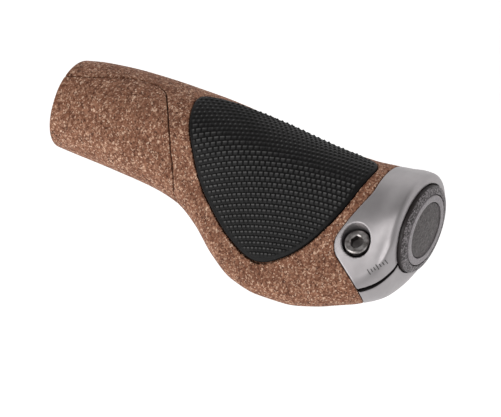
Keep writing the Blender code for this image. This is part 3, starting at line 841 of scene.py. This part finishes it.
def nub_shape(x, round_, edge):
    """The nubs' share of their height at places along and round the form.

    The edge is each place's distance in from the pad's rim.
    """
    across = x * math.cos(ROW_TILT) + round_ * math.sin(ROW_TILT) - ROW_CENTRE[0]
    up = round_ * math.cos(ROW_TILT) - x * math.sin(ROW_TILT) - ROW_CENTRE[1]
    radius, angle = np.hypot(across, up), np.arctan2(across, up)
    row = np.round(radius / ROW_PITCH)
    off_row = (radius - row * ROW_PITCH) / (ROW_PITCH / 2)

    def off_nub(pitch):
        along = angle * ROW_RADIUS / pitch + 0.5 * (row % 2)
        return 2 * (along - np.round(along))

    # dashes slope up to a crest on the far side of their row; dots are domes
    dashes = (smoothstep(-1.0, 0.5, off_row) * (1 - smoothstep(0.5, 0.95, off_row))
              * (1 - smoothstep(0.62, 0.98, np.abs(off_nub(DASH_PITCH)))))
    dots = 1 - smoothstep(0.1, 0.85, np.hypot(off_nub(DOT_PITCH), off_row))
    on_tube = smoothstep(0.0, DOTS_BY, round_)
    shown = dashes * (1 - on_tube) + dots * on_tube
    return shown * smoothstep(PLAIN_RIM, FULL_NUBS, edge)


def around_grid(index):
    """A square grid's indices along its four sides, in order."""
    return np.concatenate([index[:-1, 0], index[-1, :-1], index[:0:-1, -1], index[0, :0:-1]])


def make_palm_pad():
    """The pad's top as a fine grid that follows its outline, with a skirt and a floor."""
    outline = closed_curve(PAD_OUTLINE, 24) * MM - PAD_CENTRE
    directions = np.arctan2(outline[:, 1], outline[:, 0])
    order = np.argsort(directions)
    directions, reaches = directions[order], np.hypot(*outline.T)[order]
    size = PAD_CELLS + 1
    side = np.linspace(-1.0, 1.0, size)
    a, b = np.meshgrid(side, side, indexing="ij")
    disc_x, disc_y = a * np.sqrt(1 - b * b / 2), b * np.sqrt(1 - a * a / 2)
    share, direction = np.hypot(disc_x, disc_y), np.arctan2(disc_y, disc_x)
    reach = np.interp(direction, directions, reaches, period=2 * np.pi)
    x = PAD_CENTRE[0] + share * reach * np.cos(direction)
    turn = pad_turn(x, PAD_CENTRE[1] + share * reach * np.sin(direction))
    points, normals = surface(x, turn), surface_normal(x, turn)
    edge = (1 - share) * reach
    inside = np.clip(PAD_RIM_ROUND - edge, 0.0, PAD_RIM_ROUND)
    drop = PAD_RIM_ROUND - np.sqrt(PAD_RIM_ROUND ** 2 - inside ** 2)
    nubs = nub_shape(x, girth(x, turn), edge)
    top = points + normals * (PAD_PROUD - drop + NUB_HEIGHT * nubs)[..., None]

    index = np.arange(size * size).reshape(size, size)
    faces = np.stack([index[:-1, :-1], index[1:, :-1], index[1:, 1:], index[:-1, 1:]],
                     axis=-1).reshape(-1, 4).tolist()
    rim = around_grid(index)
    total = len(rim)
    rim_low = points.reshape(-1, 3)[rim] - normals.reshape(-1, 3)[rim] * PAD_DEPTH * 0.9
    low_start = size * size
    for k in range(total):
        following = (k + 1) % total
        faces.append([int(rim[k]), int(rim[following]), low_start + following, low_start + k])

    coarse = (slice(None, None, FLOOR_CELL),) * 2
    floor_points = points[coarse] - normals[coarse] * PAD_DEPTH
    cells = PAD_CELLS // FLOOR_CELL + 1
    floor = low_start + total + np.arange(cells * cells).reshape(cells, cells)
    faces += np.stack([floor[:-1, :-1], floor[:-1, 1:], floor[1:, 1:], floor[1:, :-1]],
                      axis=-1).reshape(-1, 4).tolist()
    floor_rim = around_grid(floor)
    for k in range(total):
        following = low_start + (k + 1) % total
        nearest = floor_rim[((k + FLOOR_CELL // 2) // FLOOR_CELL) % len(floor_rim)]
        after = floor_rim[((k + 1 + FLOOR_CELL // 2) // FLOOR_CELL) % len(floor_rim)]
        faces.append([low_start + k, following, int(nearest)])
        if after != nearest:
            faces.append([following, int(after), int(nearest)])
    everything = np.concatenate([top.reshape(-1, 3), rim_low, floor_points.reshape(-1, 3)])
    pad = mesh_object("palm_pad_nubs", everything, faces)
    pad.data.shade_smooth()
    # the nub heights, which the rubber's colour turns into a painted highlight on the crests and
    # painted shade between them
    crest = np.zeros(len(everything))
    crest[:nubs.size] = nubs.ravel()
    pad.data.attributes.new("nub", "FLOAT", "POINT").data.foreach_set("value", crest)
    return pad


def sector(name, radius, start, end, low, high):
    """A slice of a disc about the bar's axis, its angles in degrees from +Y towards +Z."""
    rim = arc((0.0, 0.0), radius, math.radians(start), math.radians(end), 25)
    return prism(name, [(0.0, 0.0), *rim], low, high, axis="X")


def make_clamp():
    """The casting with its spigot, dog slots, plug seat, slit, bolt recess and nut pocket."""
    clamp = prism("clamp_casting", clamp_outline(), -BEYOND, BEYOND)
    combine(clamp, "INTERSECT", loft("form", 100 * MM, BODY_END, rounds=(END_ROUND, RIM_ROUND),
                                     step=0.5 * MM, around=300))
    combine(clamp, "DIFFERENCE", cylinder("sleeve_space", CORK_BORE_R, 100 * MM, SPIGOT_START))
    combine(clamp, "UNION", cylinder("spigot", SLEEVE_R, SPIGOT_START, 125 * MM))
    cutters = [cylinder("bore", BORE_R, CUT_START, CUT_END)]
    for side in DOG_SIDES:
        cutters.append(sector(f"dog_slot_{side}", CORK_BORE_R, side - DOG_HALF_SPACE,
                              side + DOG_HALF_SPACE, 110 * MM, DOG_SPACE_END))
    cutters.append(cylinder("plug_seat", PLUG_SEAT_R, PLUG_SEAT_X, CUT_END))
    cutters.append(prism("slit", [(CUT_START, -50 * MM), (CUT_END, -50 * MM),
                                  (CUT_END, SLIT_FRONT), (CUT_START, SLIT_FRONT)],
                         SLIT_Z - SLIT_T / 2, SLIT_Z + SLIT_T / 2))
    cutters.append(cylinder("recess", RECESS_R, SEAT_Z, BEYOND, "Z", BOLT))
    cutters.append(turned("flare", [(0.0, FLARE_HIGH), (FLARE_R, FLARE_HIGH),
                                    (RECESS_R, FLARE_LOW), (0.0, FLARE_LOW)],
                          "Z", BOLT, closed=False))
    cutters.append(cylinder("hole", HOLE_R, -30 * MM, 30 * MM, "Z", BOLT))
    cutters.append(prism("nut_pocket", hexagon(NUT_FLATS + 0.6 * MM, BOLT), -30 * MM,
                         NUT_TOP + 0.3 * MM))
    combine(clamp, "DIFFERENCE", *cutters)
    return soften(clamp, voxel=0.25 * MM, passes=3, keep=0.6)


# The tick marks, in mm: where their row starts and ends, and half of each mark's size
TICKS = 7
TICK_START = (127.2, -22.7, 6.9)
TICK_END = (131.3, -17.8, 8.2)
TICK_LONG = 1.0
TICK_SHORT = 0.6
TICK_HALF_WIDTH = 0.17
TICK_PROUD = 0.04
TICK_SUNK = 0.1
TICK_ROWS = 7                   # points along a mark


def make_tick_marks(clamp):
    """A row of plain printed marks along the clamp's low face, beside the slit."""
    cast = BVHTree.FromPolygons([vertex.co for vertex in clamp.data.vertices],
                                [list(face.vertices) for face in clamp.data.polygons])
    start, end = Vector(TICK_START) * MM, Vector(TICK_END) * MM
    along = (end - start).normalized()
    points, faces = [], []
    for mark in range(TICKS):
        centre, outward = cast.find_nearest(start.lerp(end, mark / (TICKS - 1)))[:2]
        across = outward.cross(along).normalized()
        half = (TICK_LONG if mark % 3 == 0 else TICK_SHORT) * MM
        first = len(points)
        for row in range(TICK_ROWS):
            middle = centre + across * half * (2 * row / (TICK_ROWS - 1) - 1)
            for side, height in ((-1, TICK_PROUD), (1, TICK_PROUD), (1, -TICK_SUNK),
                                 (-1, -TICK_SUNK)):
                beside = middle + along * side * TICK_HALF_WIDTH * MM
                foot, normal = cast.find_nearest(beside)[:2]
                points.append(foot + normal * height * MM)
        for row in range(TICK_ROWS - 1):
            for k in range(4):
                near, far = first + row * 4, first + row * 4 + 4
                faces.append((near + k, near + (k + 1) % 4, far + (k + 1) % 4, far + k))
        faces.append(tuple(first + k for k in (3, 2, 1, 0)))
        faces.append(tuple(first + (TICK_ROWS - 1) * 4 + k for k in range(4)))
    marks = mesh_object("tick_marks", np.array(points), faces)
    return smooth_but_sharp(marks)


def make_bolt():
    head = [(0.0, HEAD_TOP), (HEAD_R - HEAD_ROUND, HEAD_TOP), (HEAD_R, HEAD_TOP - HEAD_ROUND),
            (HEAD_R, HEAD_LOW), (SHANK_R, HEAD_LOW), (SHANK_R, SHANK_END + SHANK_CHAMFER),
            (SHANK_R - SHANK_CHAMFER, SHANK_END), (0.0, SHANK_END)]
    bolt = turned("socket_bolt", rounded(head, 0.2 * MM, closed=False), "Z", BOLT, closed=False)
    socket = prism("socket", hexagon(SOCKET_FLATS, BOLT), HEAD_TOP - SOCKET_DEPTH, HEAD_TOP + MM)
    mouth_low = HEAD_TOP - 0.5 * MM
    drill_low, drill_tip = HEAD_TOP - 2.6 * MM, HEAD_TOP - 3.2 * MM
    mouth = turned("mouth", [(0.0, HEAD_TOP + MM), (SOCKET_MOUTH_R, HEAD_TOP + MM),
                             (DRILL_R, mouth_low), (0.0, mouth_low)], "Z", BOLT, closed=False)
    drill = turned("drill", [(0.0, HEAD_TOP), (DRILL_R, HEAD_TOP), (DRILL_R, drill_low),
                             (0.0, drill_tip)], "Z", BOLT, closed=False)
    combine(bolt, "DIFFERENCE", socket, mouth, drill)
    return smooth_but_sharp(bolt)


def make_washer():
    profile = [(WASHER_R, WASHER_TOP), (WASHER_R, WASHER_LOW), (HOLE_R, WASHER_LOW),
               (HOLE_R, WASHER_TOP)]
    return smooth_but_sharp(turned("flat_washer", rounded(profile, 0.12 * MM), "Z", BOLT))


def make_nut():
    nut = prism("hex_nut", hexagon(NUT_FLATS, BOLT), NUT_LOW, NUT_TOP)
    chamfer = turned("chamfer", [
        (0.0, NUT_TOP + MM), (NUT_FACE_R, NUT_TOP + MM), (NUT_CORNER_R, NUT_TOP - NUT_CHAMFER),
        (NUT_CORNER_R, NUT_LOW + NUT_CHAMFER), (NUT_FACE_R, NUT_LOW - MM), (0.0, NUT_LOW - MM)],
        "Z", BOLT, closed=False)
    combine(nut, "INTERSECT", chamfer)
    combine(nut, "DIFFERENCE", cylinder("bore", HOLE_R, -20 * MM, 0.0, "Z", BOLT))
    return smooth_but_sharp(nut)


def make_plug():
    barbs = []
    for x in BARB_STARTS:
        barbs += [(PLUG_TAIL_R, x), (BARB_R, x), (PLUG_TAIL_R, x - BARB_LENGTH)]
    profile = [(PLUG_FACE_R, BADGE_SEAT), (PLUG_FACE_R, PLUG_FACE),
               (PLUG_R - 0.5 * MM, PLUG_SHOULDER + 0.3 * MM),
               (PLUG_R, PLUG_SHOULDER - 0.2 * MM), (PLUG_R, PLUG_LOW), (PLUG_TAIL_R, PLUG_LOW),
               *barbs, (PLUG_TAIL_R, PLUG_TAIL_END), (PLUG_TAIL_BORE_R, PLUG_TAIL_END),
               (PLUG_TAIL_BORE_R, PLUG_LOW), (0.0, PLUG_LOW)]
    rounds = rounded(profile, 0.3 * MM, closed=False)
    return smooth_but_sharp(turned("end_plug", [(0.0, BADGE_SEAT), *rounds], closed=False))


def make_badge():
    low, top = BADGE_SEAT + 0.3 * MM, PLUG_FACE + 0.1 * MM
    ring = turned("silver_ring", rounded([
        (RING_R, top - 0.2 * MM), (RING_R, low), (RING_INNER_R, low), (RING_INNER_R, top),
        (11.7 * MM, top)], 0.15 * MM))
    disc = turned("badge_face", rounded([
        (0.0, top - DISC_SINK), (DISC_R, top - DISC_SINK), (DISC_R, low), (0.0, low)],
        0.15 * MM, closed=False), closed=False)
    return smooth_but_sharp(ring), smooth_but_sharp(disc)


def make_sleeve():
    """The sleeve with its three dogs and the slotted plate in the wing."""
    sleeve = turned("sleeve", rounded([
        (SLEEVE_R, DOG_END), (SLEEVE_R, 0.0), (BORE_R, 0.0), (BORE_R, DOG_END)], 0.25 * MM))
    cutters = []
    for start, end in ((25, 65), (115, 245), (295, 335)):
        cutters.append(sector(f"notch_{start}", 20 * MM, start, end, SLEEVE_END, 130 * MM))
    combine(sleeve, "DIFFERENCE", *cutters)
    plate = prism("plate", in_mm(PLATE_OUTLINE), PLATE_LOW, PLATE_HIGH)
    slots = []
    for x, y, width, length in PLATE_SLOTS:
        ends = [arc((x, y + way * (length - width) / 2), width / 2, turn, turn + math.pi, 13)
                for way, turn in ((1, 0.0), (-1, math.pi))]
        slots.append(prism(f"slot_{x}", in_mm(ends[0] + ends[1]), -10 * MM, 10 * MM))
    combine(plate, "DIFFERENCE", *slots)
    combine(sleeve, "UNION", plate)
    return smooth_but_sharp(sleeve)


def build_pieces():
    cork = cork_look()
    steel = steel_look()
    place(make_cork_body(), "grip", cork, "cork", "cork_body")
    place(make_collar_panel(), "grip", cork, "cork", "thumb_panel")
    place(make_palm_pad(), "grip", rubber_look(), "pad_rubber", "palm_pad")
    clamp = place(make_clamp(), "grip", aluminium_look(), "clamp_aluminium", "clamp")
    place(make_tick_marks(clamp), "grip", ink_look(), "plug_plastic")
    place(make_sleeve(), "grip", nylon_look(), "nylon", "core_frame")
    place(make_nut(), "grip", steel, "bolt_steel", "clamp_nut")
    place(make_washer(), "washer", steel, "bolt_steel", "bolt_washer")
    place(make_bolt(), "bolt", steel, "bolt_steel", "clamp_bolt")
    charcoal = speckled_look("plug_charcoal", (0.026, 0.020, 0.020), (0.25, 0.225, 0.235),
                             0.45, 2100.0, 0.5, PLUG_SHOULDER - 0.1 * MM)
    silver = speckled_look("badge_silver", (0.200, 0.178, 0.187), (0.295, 0.270, 0.280),
                           0.3, 2600.0, 0.42)
    grey = speckled_look("badge_grey", (0.034, 0.027, 0.027), (0.085, 0.070, 0.070),
                         0.4, 1700.0, 0.5)
    ring, disc = make_badge()
    place(make_plug(), "plug", charcoal, "plug_plastic", "plug_body")
    place(ring, "plug", silver, "badge_silver", "badge_ring")
    place(disc, "plug", grey, "badge_grey", "badge_disc")


# ---------------------------------------------------------------- floor, lights, camera

def make_stage():
    """A pale floor, and a sky that is brighter low down and towards the grip's front."""
    floor = mesh_object("floor", [(x * FLOOR_HALF, y * FLOOR_HALF, FLOOR_Z)
                                  for x, y in ((-1, -1), (1, -1), (1, 1), (-1, 1))],
                        [(0, 1, 2, 3)])
    look = Look("floor", (0.9, 0.9, 0.9), 0.9, Emission_Color=(1.0, 1.0, 1.0, 1.0),
                Emission_Strength=FLOOR_GLOW)
    floor.data.materials.append(look.material)

    world = bpy.data.worlds.new("studio")
    world.use_nodes = True
    tree = world.node_tree
    direction = tree.nodes.new("ShaderNodeTexCoord").outputs["Generated"]
    split = tree.nodes.new("ShaderNodeSeparateXYZ")
    tree.links.new(direction, split.inputs[0])
    ramp = tree.nodes.new("ShaderNodeValToRGB")
    for element, (at, grey) in zip(ramp.color_ramp.elements, SKY_GREYS):
        element.position = at
        element.color = (grey, grey, grey, 1.0)
    tree.links.new(split.outputs[2], ramp.inputs[0])
    to_front = tree.nodes.new("ShaderNodeMapRange")
    to_front.inputs["From Min"].default_value = -1.0
    to_front.inputs["To Min"].default_value = SKY_REAR
    to_front.inputs["To Max"].default_value = SKY_FRONT
    tree.links.new(split.outputs[1], to_front.inputs["Value"])
    background = tree.nodes["Background"]
    tree.links.new(ramp.outputs[0], background.inputs["Color"])
    tree.links.new(to_front.outputs[0], background.inputs["Strength"])
    bpy.context.scene.world = world


def add_key_light():
    """A square soft light that faces the grip."""
    data = bpy.data.lights.new("key", "AREA")
    data.size = KEY_SIZE
    data.energy = KEY_POWER
    light = bpy.data.objects.new("key", data)
    right, up, back = KEY_PLACE
    light.location = LOOK_AT + VIEW_RIGHT * right + VIEW_UP * up + VIEW_BACK * back
    light.rotation_euler = (light.location - LOOK_AT).to_track_quat("Z", "Y").to_euler()
    bpy.context.scene.collection.objects.link(light)


def make_camera():
    data = bpy.data.cameras.new("camera")
    data.sensor_width = SENSOR
    data.lens = SENSOR * CAMERA_DISTANCE / VIEW_WIDTH
    data.clip_end = CAMERA_REACH
    camera = bpy.data.objects.new("camera", data)
    turn = Matrix((VIEW_RIGHT, VIEW_UP, VIEW_BACK)).transposed().to_4x4()
    camera.matrix_world = Matrix.Translation(LOOK_AT + VIEW_BACK * CAMERA_DISTANCE) @ turn
    bpy.context.scene.collection.objects.link(camera)
    bpy.context.scene.camera = camera


build_pieces()
make_stage()
add_key_light()
make_camera()
bpy.context.scene.view_settings.view_transform = "Standard"
